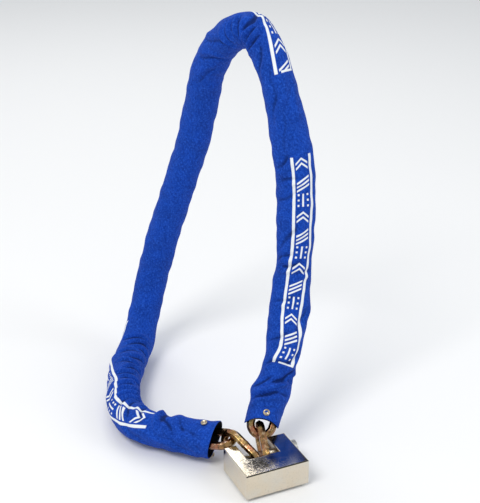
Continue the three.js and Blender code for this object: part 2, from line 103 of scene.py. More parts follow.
# Half the sleeve's width in millimetres across the side it shows, along its length.
SPREAD = np.array([
    [0, 20.8], [20, 20.6], [40, 21.4], [62, 21.8], [78, 20.6], [92, 19.8], [106, 20.8], [122, 23.0],
    [160, 24.6], [190, 23.4], [220, 21.6], [248, 22.6], [290, 23.8], [330, 24.0], [370, 23.6],
    [400, 22.2], [430, 20.6], [480, 20.4], [520, 21.0], [600, 21.8], [700, 22.2], [800, 21.6],
    [900, 22.2], [1000, 21.6], [1080, 22.8], [1110, 23.2], [1170, 21.0], [1210, 22.2],
    [1260, 21.0], [1290, 20.4], [1310, 22.0], [1345, 22.4], [1380, 22.6],
])

# The side that shows, whose width is SPREAD.
SHOWN_SIDE = np.array([
    [0, 247], [450, 244], [495, 235], [525, 195], [545, 165], [600, 131], [700, 118],
    [960, 115], [1020, 102], [1060, 80], [1110, 70], [1170, 85], [1200, 98], [1230, 120],
    [1260, 137], [1380, 154],
])

# The middle of the printed band round the sleeve.
PRINT_MIDDLE = np.array([
    [0, 252], [60, 254], [84, 258], [106, 271], [126, 262], [146, 253], [184, 256], [232, 267],
    [276, 265], [318, 268], [350, 269], [446, 276], [466, 282], [478, 288], [492, 298], [504, 307],
    [700, 300], [1020, 200], [1086, 190], [1114, 187], [1150, 160], [1178, 138], [1216, 156],
    [1250, 134], [1278, 108], [1380, 100],
])

# Where the cloth stands out from the chain or is pressed in: place, angle, half length, half
# width in degrees, and height in millimetres.
BULGES = np.array([
    [47, 172, 9, 42, 4.4], [52, 330, 12, 40, 1.6], [72, 172, 12, 40, -1.4], [24, 156, 8, 40, 1.0],
    [140, 170, 26, 45, 1.6], [214, 165, 12, 40, -1.4], [236, 345, 16, 40, 1.0],
    [262, 160, 22, 40, 1.3], [340, 165, 20, 40, 1.2], [372, 345, 20, 40, 0.9],
    [476, 150, 14, 40, 1.6], [500, 230, 6, 36, -2.0], [516, 150, 12, 44, 2.0],
    [540, 120, 14, 44, 1.2], [1050, 0, 14, 50, 1.6], [1110, 150, 16, 44, 1.2],
    [1176, 0, 10, 44, 1.6], [1208, 40, 7, 40, 1.8], [1228, 120, 10, 44, 1.4],
    [1285, 52, 6, 40, 1.2], [1297, 52, 4.5, 36, -2.4], [1310, 56, 8, 40, 2.6],
    [1335, 60, 9, 36, -0.8], [1340, 236, 12, 40, 1.0], [1318, 240, 12, 40, -1.2],
    [1250, 220, 16, 40, 1.0],
])

# Where each stretch of print starts and ends.
PRINTED = ((83.0, 350.0), (446.0, 700.0), (1022.0, 1277.0))

# Radii in millimetres: the cloth's where folds and print are laid out on it, the least that clears
# the links, and the lining's away from the mouths.
FOLD_RADIUS = 21.5
PRINT_RADIUS = 21.8
LEAST_RADIUS = 19.55
LINING_RADIUS = 18.75

# Points along the centre line, and the outer skin's points along and round the sleeve.
LINE_POINTS = 2801
SLEEVE_ROWS = 860
SLEEVE_COLUMNS = 88

# How far in from a mouth the slant of its cut reaches, in metres. Up to there the lining's rows are
# as close together as the outer skin's.
MOUTH_REACH = 0.045

# The print repeats after this many millimetres, and its strokes fade over the second.
PRINT_STEP = 66.0
PRINT_SOFT = 0.35

# A rivet's rolled head, and how far in from the post's end and from the cap's middle it sits.
RIVET_RADIUS = 4.2 * MM
RIVET_HEIGHT = 2.2 * MM
RIVET_SEATS = {"head": 2.4 * MM, "cap": 1.6 * MM}

# Places on the block, in metres. Each pair is where a finish starts to show and where it is full.
TOP_FACE = (-0.42306, -0.42302)
TOP_EDGE = (-0.42425, -0.42400)
FRONT_EDGE = (-0.2366, -0.2371)
WORN_PLACE = (-0.099, -0.221)
STAIN_PLACE = (-0.090, -0.214)

# The stage: the gap under the part, what the lamps are turned to, and the camera.
FLOOR_GAP = 0.0004
LAMP_AIM = (-0.08, 0.0, -0.22)
CAMERA_PLACE = (-0.5772, -1.2040, 0.3385)
CAMERA_WAY = (0.3829, 0.8277, -0.4104)
CAMERA_LENS = 85.05

# Folds pressed into the cloth: place, angle, slant in degrees (0 lies along the sleeve, 90
# round it), half length, half width and depth in millimetres, with a ridge beside each.
FOLDS = np.array([
    [58, 250, 60, 26, 2.4, 3.0], [42, 232, 66, 16, 2.2, 2.6], [70, 285, 44, 20, 2.2, 2.6],
    [38, 225, 80, 13, 2.2, 1.6], [46, 282, 75, 14, 2.4, 1.6], [28, 255, 60, 12, 2.0, 1.2],
    [56, 212, 55, 14, 2.4, 2.0], [84, 236, 72, 18, 2.6, 1.6], [98, 300, 30, 22, 3.0, 1.5],
    [118, 225, 60, 18, 3.0, 1.5], [140, 292, 20, 26, 3.2, 1.3], [168, 226, 70, 16, 3.0, 1.4],
    [212, 228, 78, 17, 2.8, 2.0], [222, 205, 65, 17, 3.0, 1.8], [204, 280, 70, 15, 3.0, 1.2],
    [246, 214, 40, 22, 3.4, 1.3], [262, 240, 15, 30, 3.0, 0.9], [300, 212, 60, 20, 3.2, 1.4],
    [322, 218, 80, 15, 3.0, 1.5], [345, 210, 55, 20, 3.4, 1.3], [380, 230, 12, 34, 3.4, 1.0],
    [402, 262, 8, 40, 3.6, 1.0], [418, 222, 25, 30, 3.2, 1.0], [448, 232, 10, 34, 3.0, 1.0],
    [470, 214, 30, 24, 2.6, 1.6], [488, 206, 76, 17, 2.4, 2.6], [497, 212, 84, 18, 2.2, 3.2],
    [506, 214, 88, 18, 2.2, 3.0], [514, 190, 84, 16, 2.2, 2.6], [503, 250, 64, 16, 2.4, 2.0],
    [524, 196, 70, 16, 2.4, 2.4], [536, 180, 80, 15, 2.4, 2.0], [548, 150, 66, 16, 2.6, 1.8],
    [566, 176, 36, 22, 2.8, 1.4], [590, 142, 50, 22, 3.0, 1.4], [622, 130, 24, 26, 3.2, 1.2],
    [1062, 92, 80, 18, 2.6, 2.2], [1074, 66, 70, 17, 2.4, 2.4], [1086, 50, 84, 15, 2.4, 2.2],
    [1098, 84, 60, 16, 2.6, 1.8], [1112, 52, 76, 17, 2.6, 2.2], [1128, 74, 82, 16, 2.4, 2.0],
    [1142, 50, 66, 16, 2.6, 2.2], [1158, 78, 74, 16, 2.4, 1.8], [1172, 56, 80, 16, 2.4, 2.2],
    [1188, 80, 70, 15, 2.4, 2.0], [1203, 62, 84, 17, 2.6, 2.8], [1216, 80, 78, 17, 2.4, 2.6],
    [1229, 84, 84, 18, 2.4, 2.8], [1243, 104, 60, 18, 2.6, 1.9], [1262, 92, 74, 16, 2.6, 2.0],
    [1292, 92, 84, 17, 3.0, 3.4], [1301, 118, 50, 18, 2.8, 1.7], [1318, 106, 66, 14, 2.6, 1.3],
    [1334, 140, 20, 22, 3.0, 0.9], [1285, 150, 20, 26, 3.0, 0.9], [1262, 176, 30, 22, 3.0, 1.0],
    [1342, 172, 50, 15, 2.6, 1.1], [1324, 190, 24, 22, 3.0, 1.0],
])


# ---- Sizes and colours a user would change ----
class SleeveSettings(bpy.types.PropertyGroup):
    mouth_right: bpy.props.FloatProperty(
        name="Right mouth", description="From the last joint on the right to the sleeve's mouth",
        default=0.013, min=0.0, unit="LENGTH")
    mouth_left: bpy.props.FloatProperty(
        name="Left mouth", description="From the last joint on the left to the sleeve's mouth",
        default=0.020, min=0.0, unit="LENGTH")
    radius: bpy.props.FloatProperty(
        name="Radius", description="The sleeve's radius where it is round",
        default=0.0218, min=0.0, unit="LENGTH")
    wall: bpy.props.FloatProperty(
        name="Wall", description="Thickness of the cloth", default=0.0012, min=0.0, unit="LENGTH")
    cloth: bpy.props.FloatVectorProperty(
        name="Cloth", description="Colour of the woven cloth", subtype="COLOR", size=3,
        default=(0.0034, 0.050, 0.385))
    ink: bpy.props.FloatVectorProperty(
        name="Print", description="Colour of the printed lines", subtype="COLOR", size=3,
        default=(0.80, 0.83, 0.84))


class ChainSettings(bpy.types.PropertyGroup):
    edge: bpy.props.FloatProperty(
        name="Bar edge", description="How much of each flat the rounded edges of the bar take",
        default=0.10, min=0.0, max=0.6, subtype="FACTOR")
    plating: bpy.props.FloatVectorProperty(
        name="Plating", description="Main colour of the links' plating", subtype="COLOR", size=3,
        default=(0.42, 0.235, 0.095))


class PadlockSettings(bpy.types.PropertyGroup):
    nickel: bpy.props.FloatVectorProperty(
        name="Nickel", description="Colour of the block's plating", subtype="COLOR", size=3,
        default=(0.68, 0.64, 0.56))
    steel: bpy.props.FloatVectorProperty(
        name="Steel", description="Colour of the bar", subtype="COLOR", size=3,
        default=(0.56, 0.55, 0.52))


class StageSettings(bpy.types.PropertyGroup):
    floor: bpy.props.FloatVectorProperty(
        name="Floor", description="Colour of the floor", subtype="COLOR", size=3,
        default=(0.86, 0.86, 0.86))
    floor_size: bpy.props.FloatProperty(
        name="Floor size", description="Width of the floor", default=24.0, min=1.0, unit="LENGTH")


# ---- Shader maths ----
class Wave:
    """One value in a material: arithmetic on it adds the Math nodes that work it out."""

    def __init__(self, shop, socket):
        self.shop = shop
        self.socket = socket

    def _with(self, operation, *others):
        """This and the others, in order, through one Math node."""
        values = dict(enumerate((self.socket, *others)))
        return Wave(self.shop, self.shop.node("ShaderNodeMath", {"operation": operation}, values)[0])

    def __add__(self, other):
        return self._with("ADD", other)

    __radd__ = __add__

    def __mul__(self, other):
        return self._with("MULTIPLY", other)

    __rmul__ = __mul__

    def __sub__(self, other):
        return self._with("SUBTRACT", other)

    def __rsub__(self, other):
        return (self * -1.0) + other

    def sine(self):
        """The sine of this, in radians."""
        return self._with("SINE")

    def size(self):
        """This without its sign."""
        return self._with("ABSOLUTE")

    def most(self, other):
        """The larger of this and another."""
        return self._with("MAXIMUM", other)

    def wrapped(self, low, high):
        """This brought between low and high by whole steps of the range."""
        return self._with("WRAP", high, low)

    def angle_to(self, other):
        """The angle of a point whose height is this and whose distance across is the other."""
        return self._with("ARCTAN2", other)

    def rise(self, low, high):
        """0 up to low, 1 from high, and a smooth step between them."""
        out = self.shop.node(
            "ShaderNodeMapRange", {"interpolation_type": "SMOOTHSTEP"},
            {"Value": self.socket, "From Min": low, "From Max": high})
        return Wave(self.shop, out[0])

    def within(self, middle, half, soft):
        """1 while this is within half of a middle, and 0 outside, with a smooth step of twice soft
        at the edge."""
        return 1.0 - (self - middle).size().rise(half - soft, half + soft)


class Shop:
    """A material under construction, with one way to add any node."""

    def __init__(self, name):
        self.material = bpy.data.materials.new(name)
        self.material.use_nodes = True
        self.tree = self.material.node_tree
        self.shader = self.tree.nodes["Principled BSDF"]

    def node(self, kind, settings=None, values=None):
        """Adds a node of a kind, with its settings and then the values or links of its sockets, and
        gives its outputs."""
        made = self.tree.nodes.new(kind)
        for key, value in (settings or {}).items():
            if key == "stops":
                self._set_stops(made.color_ramp, value)
            else:
                setattr(made, key, value)
        for key, value in (values or {}).items():
            self.put(made.inputs[key], value)
        return made.outputs

    @staticmethod
    def _set_stops(ramp, stops):
        """Gives a ramp its (place, colour) stops."""
        while len(ramp.elements) < len(stops):
            ramp.elements.new(0.5)
        for element, (place, color) in zip(ramp.elements, stops):
            element.position = place
            element.color = (*color, 1.0)

    def put(self, socket, value):
        """Links a value to a socket if it comes from a node, and sets the socket's own if not."""
        if isinstance(value, Wave):
            value = value.socket
        if isinstance(value, bpy.types.NodeSocket):
            self.tree.links.new(value, socket)
        elif socket.type == "RGBA" and len(value) == 3:
            socket.default_value = (*value, 1.0)
        else:
            socket.default_value = value

    def set(self, **sockets):
        """Puts values into the shader's sockets, named with _ for a space."""
        for name, value in sockets.items():
            self.put(self.shader.inputs[name.replace("_", " ")], value)

    def place(self):
        """Object coordinates."""
        return self.node("ShaderNodeTexCoord")["Object"]

    def attribute(self, name):
        """The piece's own number at each point."""
        return Wave(self, self.node("ShaderNodeAttribute", {"attribute_name": name})["Fac"])

    def noise(self, scale, detail=3.0, rough=0.55, stretch=(1, 1, 1), turn=(0, 0, 0)):
        """Cloudy noise from 0 to 1, in Object coordinates stretched and turned."""
        where = self.node(
            "ShaderNodeMapping", {}, {"Vector": self.place(), "Scale": stretch, "Rotation": turn})
        out = self.node(
            "ShaderNodeTexNoise", {},
            {"Vector": where["Vector"], "Scale": scale, "Detail": detail, "Roughness": rough})
        return Wave(self, out[0])

    def mix(self, share, first, second):
        """One colour turning into another as a share goes from 0 to 1."""
        values = {0: share, 6: first, 7: second}
        return self.node("ShaderNodeMix", {"data_type": "RGBA"}, values)[2]

    def bump(self, height, strength, distance):
        """Fine relief from a height, as a distance in metres times a strength."""
        out = self.node(
            "ShaderNodeBump", {}, {"Strength": strength, "Distance": distance, "Height": height})
        self.put(self.shader.inputs["Normal"], out["Normal"])


# ---- Geometry helpers ----
def unit(vectors):
    """Each vector divided by its length."""
    return vectors / np.linalg.norm(vectors, axis=-1, keepdims=True)


def table(rows, places):
    """A smooth reading of a table of (place, value) rows: straight lines between the rows, averaged
    over a few neighbouring places."""
    step = 3.0
    shifts = np.arange(-3, 4) * step
    return np.mean([np.interp(places + shift, rows[:, 0], rows[:, 1]) for shift in shifts], axis=0)


def band(value, middle, half):
    """1 at a middle, falling to 0 as a bell curve of a half width."""
    return np.exp(-(((value - middle) / half) ** 2))


def centre_line(count):
    """Points evenly spaced along the route, and how far along each one is. Between two route
    points the line is the cubic through both whose slope at each is half the step between that
    point's neighbours."""
    first = np.vstack([2 * ROUTE[0] - ROUTE[1], ROUTE[:-2]])[:, None]
    second = ROUTE[:-1, None]
    third = ROUTE[1:, None]
    fourth = np.vstack([ROUTE[2:], 2 * ROUTE[-1] - ROUTE[-2]])[:, None]
    t = np.linspace(0, 1, 80, endpoint=False)[None, :, None]
    curve = 0.5 * (
        2 * second + (third - first) * t
        + (2 * first - 5 * second + 4 * third - fourth) * t ** 2
        + (3 * second - first - 3 * third + fourth) * t ** 3)
    curve = np.vstack([curve.reshape(-1, 3), ROUTE[-1:]])
    steps = np.linalg.norm(np.diff(curve, axis=0), axis=1)
    along = np.concatenate([[0], np.cumsum(steps)])
    even = np.linspace(0, along[-1], count)
    points = np.stack([np.interp(even, along, curve[:, k]) for k in range(3)], axis=1)
    return points, even


class Line:
    """The centre line with its directions: forward along it, out square to it on the +X side, and
    over, which is forward crossed with out."""

    def __init__(self):
        points, self.along = centre_line(LINE_POINTS)
        forward = unit(np.gradient(points, self.along, axis=0))
        out = unit(np.array([1.0, 0, 0]) - forward * forward[:, :1])
        self.fields = {
            "point": points, "forward": forward, "out": out, "over": np.cross(forward, out)}
        self.length = self.along[-1]

    def at(self, places, field):
        """A field read at places along the line, and carried straight on past its ends."""
        inside = np.clip(places, 0, self.length)
        values = self.fields[field]
        read = np.stack(
            [np.interp(inside, self.along, values[:, k]) for k in range(3)], axis=-1)
        if field == "point":
            return read + self.at(places, "forward") * (places - inside)[..., None]
        return unit(read)


def grid_faces(rows, columns, closed_rows=False):
    """The four-cornered faces between neighbouring rows and columns of a grid of points. Each row
    is closed, and the last row meets the first where the rows are closed too."""
    i = np.arange(rows if closed_rows else rows - 1)[:, None]
    j = np.arange(columns)[None, :]
    below = (i + 1) % rows
    beside = (j + 1) % columns
    corners = [i * columns + j, below * columns + j, below * columns + beside, i * columns + beside]
    return np.stack(corners, -1).reshape(-1, 4)


def make_piece(name, points, faces, material, body):
    """A smooth mesh object of four-cornered faces that rides on a body of the frame."""
    mesh = bpy.data.meshes.new(name)
    points = np.asarray(points, dtype=np.float32).reshape(-1, 3)
    faces = np.asarray(faces, dtype=np.int32)
    mesh.vertices.add(len(points))
    mesh.vertices.foreach_set("co", points.ravel())
    mesh.loops.add(faces.size)
    mesh.loops.foreach_set("vertex_index", faces.ravel())
    mesh.polygons.add(len(faces))
    mesh.polygons.foreach_set("loop_start", np.arange(len(faces), dtype=np.int32) * faces.shape[1])
    mesh.polygons.foreach_set("use_smooth", np.ones(len(faces), dtype=bool))
    mesh.update(calc_edges=True)
    mesh.validate()
    mesh.materials.append(material)
    piece = bpy.data.objects.new(name, mesh)
    bpy.context.scene.collection.objects.link(piece)
    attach(piece, body)
    return piece


def add_attribute(piece, name, values):
    """One number at each point of a piece."""
    attribute = piece.data.attributes.new(name, "FLOAT", "POINT")
    attribute.data.foreach_set("value", np.asarray(values, dtype=np.float32).ravel())


def lathe(outline, origin, axis, sides):
    """The points of a surface of revolution: an outline of (distance along the axis, radius) pairs
    is carried round the axis. It is closed if the outline starts and ends on the axis."""
    axis = unit(np.asarray(axis, dtype=float))
    helper = np.array([0.0, 0, 1]) if abs(axis[2]) < 0.9 else np.array([1.0, 0, 0])
    first = unit(np.cross(axis, helper))
    second = np.cross(axis, first)
    turn = np.linspace(0, 2 * np.pi, sides, endpoint=False)
    ring = np.cos(turn)[:, None] * first + np.sin(turn)[:, None] * second
    outline = np.asarray(outline, dtype=float)
    return (np.asarray(origin) + outline[:, 0, None, None] * axis
            + outline[:, 1, None, None] * ring[None])


def node_points(name):
    """The points of a CAD node's mesh, each kept once."""
    mesh = frame["nodes"][name].data
    flat = np.zeros(len(mesh.vertices) * 3, dtype=np.float32)
    mesh.vertices.foreach_get("co", flat)
    return np.unique(np.round(flat.reshape(-1, 3).astype(float), 6), axis=0)


def node_frame(name):
    """The middle of a CAD node and its three directions, longest first, with their full sizes."""
    points = node_points(name)
    middle = points.mean(0)
    _, _, directions = np.linalg.svd(points - middle, full_matrices=False)
    reach = (points - middle) @ directions.T
    middle = middle + ((reach.max(0) + reach.min(0)) / 2) @ directions
    return middle, directions, np.ptp(reach, axis=0)


def face_outwards(piece):
    """Turns a closed piece's faces round if the volume they enclose comes out negative. The
    volume is a sixth of the sum, over triangles, of each one's corner dotted with the cross
    product of the other two."""
    mesh = piece.data
    mesh.calc_loop_triangles()
    points = np.zeros(len(mesh.vertices) * 3)
    mesh.vertices.foreach_get("co", points)
    corners = np.zeros(len(mesh.loop_triangles) * 3, dtype=np.int32)
    mesh.loop_triangles.foreach_get("vertices", corners)
    a, b, c = points.reshape(-1, 3)[corners.reshape(-1, 3)].transpose(1, 0, 2)
    if (a * np.cross(b, c)).sum() < 0:
        mesh.flip_normals()


def dress(node, material):
    """Gives a CAD node a material, and leaves its mesh as it is."""
    node.data.materials.clear()
    node.data.materials.append(material)


# ---- Sleeve ----
def bend_of(line, places):
    """How sharply the line bends at places, and the angle round it of the inside of the bend."""
    change = np.gradient(line.fields["forward"], line.along, axis=0)
    turn = np.stack([np.interp(places, line.along, change[:, k]) for k in range(3)], axis=-1)
    out = (turn * line.at(places, "out")).sum(-1)
    over = (turn * line.at(places, "over")).sum(-1)
    return np.hypot(out, over), np.arctan2(over, out)


def fold_height(place, angle):
    """Height in millimetres of all the folds at places and angles: each is a groove with the
    profile of a bell curve, with a softer ridge on one side, that fades towards its two ends."""
    height = np.zeros(np.broadcast(place, angle).shape)
    for middle, at, slant, half_length, half_width, depth in FOLDS:
        near = np.abs(place[:, 0] - middle) < 3 * (half_length + half_width)
        round_it = FOLD_RADIUS * ((angle - np.radians(at) + np.pi) % (2 * np.pi) - np.pi)
        ahead = place[near] - middle
        lean = np.radians(slant)
        lengthwise = ahead * np.cos(lean) + round_it * np.sin(lean)
        across = -ahead * np.sin(lean) + round_it * np.cos(lean)
        across = across + 1.4 * np.sin(lengthwise / 6.0 + middle)
        fade = np.exp(-((lengthwise / half_length) ** 4))
        groove = band(across, 0, half_width)
        ridge = band(across, 2.2 * half_width, 1.2 * half_width)
        height[near] += depth * fade * (1.15 * ridge - groove)
    return height


def bulge_height(place, angle):
    """Height in millimetres of all the bulges at places and angles: each is a bell curve along
    the sleeve times a bell curve round it."""
    height = np.zeros(np.broadcast(place, angle).shape)
    for middle, at, half_length, half_width, depth in BULGES:
        turned = (angle - np.radians(at) + np.pi) % (2 * np.pi) - np.pi
        height += depth * band(place, middle, half_length) * band(turned, 0, np.radians(half_width))
    return height


def sleeve_radius(line, settings, place, angle):
    """The sleeve's radius in metres at places and angles, and how deep it is creased there. The
    radius is the round one, spread sideways as the table says, with the bulges, pinched into
    radius is the round one, spread sideways as the table says, with the bulges, pinched into
    uneven pleats inside the bends, pressed by the folds, and with small lumps all over. Where that
    comes under the least radius, it is eased up to it."""
    mm = place / MM
    spread = table(SPREAD, mm[:, 0])[:, None] - settings.radius / MM
    shown = np.radians(table(SHOWN_SIDE, mm[:, 0]))[:, None]
    radius = settings.radius / MM - spread * np.cos(2 * (angle - shown))
    sharp, inside = bend_of(line, place[:, 0])
    sharp = np.clip(sharp * settings.radius, 0, 1)[:, None]
    facing = np.clip(np.cos(angle - inside[:, None]), 0, 1)
    phase = 2 * np.pi * mm / 11.0 + 2.1 * np.sin(2 * angle + mm / 23) + 1.6 * np.sin(mm / 15)
    uneven = 0.45 + 0.55 * np.sin(mm / 19 + 1.2 * np.sin(angle))
    pleats = 1.05 * sharp * facing * uneven * (np.sin(phase) + 0.4 * np.sin(1.7 * phase + 1))
    folds = 1.25 * fold_height(mm, angle)
    lumps = (
        0.30 * np.sin(mm / 6.1 + 2.0 * np.sin(angle) + 1.0)
        + 0.25 * np.sin(mm / 9.7 + 3 * angle) + 0.22 * np.sin(mm / 4.3 - 2 * angle + 0.5)
        + 0.20 * np.sin(mm / 14.9 + 5 * angle) + 0.16 * np.sin(mm / 2.9 + 4 * angle))
    wanted = radius + bulge_height(mm, angle) + pleats + folds + lumps
    # How deep the cloth is creased, from 0 to 1, which the cloth's material paints as shade.
    crease = np.clip(-(pleats * 0.5 + folds) / 2.2, 0, 1)
    least = LEAST_RADIUS + 0.12 * lumps
    eased = 0.5 * (wanted + least + np.sqrt((wanted - least) ** 2 + 0.35))
    return eased * MM, crease


def mouth_shift(angle):
    """How much further in than its mean place each mouth is cut, round the sleeve, as the right
    mouth's arch and the left mouth's slant."""
    turn = angle - np.radians(156)
    right = -4.2 * np.cos(2 * turn) - 2.6 * np.cos(turn) - 1.5
    left = 6.0 * np.cos(angle - np.radians(64)) + 4.5 * np.cos(angle - np.radians(154))
    return right * MM, left * MM


def sleeve_mesh(line, settings):
    """The sleeve as one closed surface. A profile runs along the outside from the right mouth to
    the left, rolls over the hem, comes back along the lining and rolls over the other hem. It
    has a place along the line and a depth below the outer skin for each row, and every row goes
    once round. Away from the mouths the lining is a plain tube that clears the links."""
    start = settings.mouth_right
    end = line.length - settings.mouth_left
    wall = settings.wall
    near = MOUTH_REACH
    roll = np.linspace(0, np.pi, 5)[1:-1]
    outer = np.linspace(start, end, SLEEVE_ROWS)
    inner = np.concatenate([
        outer[outer > end - near][::-1], np.linspace(end - near, start + near, 110)[1:-1],
        outer[outer < start + near][::-1]])
    place = np.concatenate([
        outer, end + wall / 2 * np.sin(roll), inner, start - wall / 2 * np.sin(roll)])
    depth = np.concatenate([
        0 * outer, wall / 2 * (1 - np.cos(roll)), 0 * inner + wall, wall / 2 * (1 + np.cos(roll))])
    angle = np.linspace(0, 2 * np.pi, SLEEVE_COLUMNS, endpoint=False)[None, :]
    right, left = mouth_shift(angle)
    place = place[:, None]
    moved = (place + right * np.clip(1 - (place - start) / near, 0, 1) ** 2
             + left * np.clip(1 - (end - place) / near, 0, 1) ** 2)
    held = np.clip(place, start, end)
    radius, crease = sleeve_radius(line, settings, held, angle)
    from_mouth = np.minimum(held - start, end - held) / MM
    radius = radius + MM * (0.35 * band(from_mouth, 4, 5) - 0.30 * band(from_mouth, 12.5, 1.2))
    radius = radius - depth[:, None]
    hidden = np.clip((from_mouth - 12) / 20, 0, 1) * (depth[:, None] > 0.99 * wall)
    radius = radius + (np.minimum(radius, LINING_RADIUS * MM) - radius) * hidden
    across = np.cos(angle)[..., None] * line.at(moved, "out")
    across = across + np.sin(angle)[..., None] * line.at(moved, "over")
    points = line.at(moved, "point") + radius[..., None] * across
    # Marks the lining, which the cloth's material paints near-black as shade inside the sleeve.
    lining = np.broadcast_to((depth[:, None] > 0.6 * wall) * 1.0, radius.shape)
    middle = np.radians(table(PRINT_MIDDLE, held[:, 0] / MM))[:, None]
    return {
        "points": points, "rows": len(place), "columns": angle.size, "lining": lining,
        "along": moved / MM, "turn_x": np.cos(angle - middle), "turn_y": np.sin(angle - middle),
        "crease": crease,
    }


def stroke(first, first_range, second, second_range):
    """A straight stroke: 1 while both values lie in their ranges."""
    a, b = (value.within((low + high) / 2, (high - low) / 2, PRINT_SOFT)
            for value, (low, high) in ((first, first_range), (second, second_range)))
    return a * b


def printed_marks(along, across):
    """The print, as one value: two lines along the sleeve and, between them, a plain pattern of
    chevrons, a dash between dots, and slanted bars, all within the printed stretches. A bar across
    starts each of the first two stretches."""
    side = across.size()
    marks = side.within(12.0, 1.85, PRINT_SOFT)
    step = along.wrapped(0.0, PRINT_STEP)
    between = 1.0 - side.rise(7.8, 8.3)
    for place in (11.0, 17.0):
        marks = marks.most((step + side * 0.8).within(place, 1.3, PRINT_SOFT) * between)
    marks = marks.most(stroke(step, (24.0, 40.0), across, (-1.1, 1.1)))
    for height in (-6.0, 6.0):
        for start in (24.0, 30.8, 37.6):
            dot = stroke(step, (start, start + 2.4), across, (height - 1.2, height + 1.2))
            marks = marks.most(dot)
    for place in (47.0, 52.0, 57.0):
        marks = marks.most((step - across * 0.5).within(place, 1.2, PRINT_SOFT) * between)
    stretches = None
    for low, high in PRINTED:
        stretch = along.within((low + high) / 2, (high - low) / 2, 0.5)
        stretches = stretch if stretches is None else stretches.most(stretch)
    for place in (PRINTED[0][0], PRINTED[1][0]):
        marks = marks.most(stroke(along, (place, place + 2.4), across, (-6.0, 12.0)))
    return marks * stretches


def sleeve_material(settings):
    """Coarse dark and pale yarns on the cloth's own places along and round the sleeve, with painted
    shade in its creases, worn print over them, and the lining painted near-black as shade."""
    shop = Shop("Woven sleeve")
    along, turn_x, turn_y, lining, crease = (
        shop.attribute(name) for name in ("along", "turn_x", "turn_y", "lining", "crease"))
    across = turn_y.angle_to(turn_x) * PRINT_RADIUS
    thread = shop.node("ShaderNodeCombineXYZ", {}, {
        "X": along * 0.16, "Y": turn_x * PRINT_RADIUS, "Z": turn_y * PRINT_RADIUS})
    yarn = shop.node("ShaderNodeTexNoise", {}, {
        "Vector": thread["Vector"], "Scale": 0.9, "Detail": 3.0, "Roughness": 0.6})
    yarn = Wave(shop, yarn[0])
    fuzz = shop.noise(1100.0, 2.0)
    flecks = shop.noise(450.0, 3.0, 0.7)
    shade = shop.noise(45.0, 4.0)
    base = tuple(settings.cloth)
    dark = tuple(c * 0.50 for c in base)
    pale = (base[0] * 2.0 + 0.018, base[1] * 2.3, base[2] * 1.55)
    cloth = shop.mix(shade.rise(0.34, 0.66), tuple(c * 0.8 for c in base), base)
    twill = ((along * 0.9 + across * 0.9).sine() * 0.5 + 0.5) * flecks.rise(0.42, 0.6)
    light = yarn.rise(0.42, 0.66) * 0.25 + flecks.rise(0.52, 0.70) * 0.40 + twill * 0.22
    cloth = shop.mix(light, cloth, pale)
    cloth = shop.mix(flecks.rise(0.5, 0.34) * 0.65 + fuzz.rise(0.5, 0.3) * 0.30, cloth, dark)
    # Painted shade: the cloth darkens to a near-black blue in its creases, more the deeper the
    # crease.
    cloth = shop.mix(crease.rise(0.20, 1.10) * 0.85, cloth, tuple(c * 0.18 for c in base))
    ink = printed_marks(along, across)
    worn = 1.0 - flecks.rise(0.60, 0.78) * 0.35
    # Painted shade: the print darkens to grey-blue in the creases.
    paint = shop.mix(crease.rise(0.3, 1.0) * 0.45, tuple(settings.ink), (0.30, 0.36, 0.46))
    color = shop.mix(ink * worn, cloth, paint)
    # Painted shade: the lining, the inside of the sleeve, is near-black.
    color = shop.mix(lining, color, (0.008, 0.010, 0.016))
    shop.set(Base_Color=color, Roughness=ink * -0.20 + 0.86)
    shop.set(Sheen_Weight=0.03, Specular_IOR_Level=0.12)
    shop.bump(yarn * 0.8 + flecks * 0.9 + fuzz * 0.5 + ink * 0.4, 0.45, 0.0007)
    return shop.material


class OBJECT_OT_chain_lock_sleeve(bpy.types.Operator):
    """Builds the woven sleeve over the chain"""

    bl_idname = "object.chain_lock_sleeve"
    bl_label = "Sleeve"

    def execute(self, context):
        settings = context.scene.chain_lock_sleeve
        line = Line()
        made = sleeve_mesh(line, settings)
        faces = grid_faces(made["rows"], made["columns"], closed_rows=True)[:, ::-1]
        piece = make_piece(
            "sleeve_cloth", made["points"], faces, sleeve_material(settings), "chain")
        for name in ("along", "turn_x", "turn_y", "lining", "crease"):
            add_attribute(piece, name, made[name])
        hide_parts("sleeve")
        return {"FINISHED"}


# ---- Links ----
def rounded_hexagon(flats, edge):
    """The bar's section, as offsets from its centre: a hexagon with a corner at angle 0, whose
    corners are each cut back by a share of a flat and rounded through four points, with a point on
    the flat at either side."""
    corner = flats / np.sqrt(3)
    k = np.arange(6)
    at = np.radians(60 * k)
    tips = corner * np.stack([np.cos(at), np.sin(at)], 1)
    cut = edge * corner
    towards = np.roll(tips, 1, axis=0) - tips
    away = np.roll(tips, -1, axis=0) - tips
    t = np.linspace(0, 1, 4)[None, :, None]
    start = tips[:, None] + cut * unit(towards)[:, None]
    end = tips[:, None] + cut * unit(away)[:, None]
    points = (1 - t) ** 2 * start + 2 * t * (1 - t) * tips[:, None] + t ** 2 * end
    before = tips[:, None] + 1.5 * cut * unit(towards)[:, None]
    after = tips[:, None] + 1.5 * cut * unit(away)[:, None]
    return np.concatenate([before, points, after], axis=1).reshape(-1, 2)


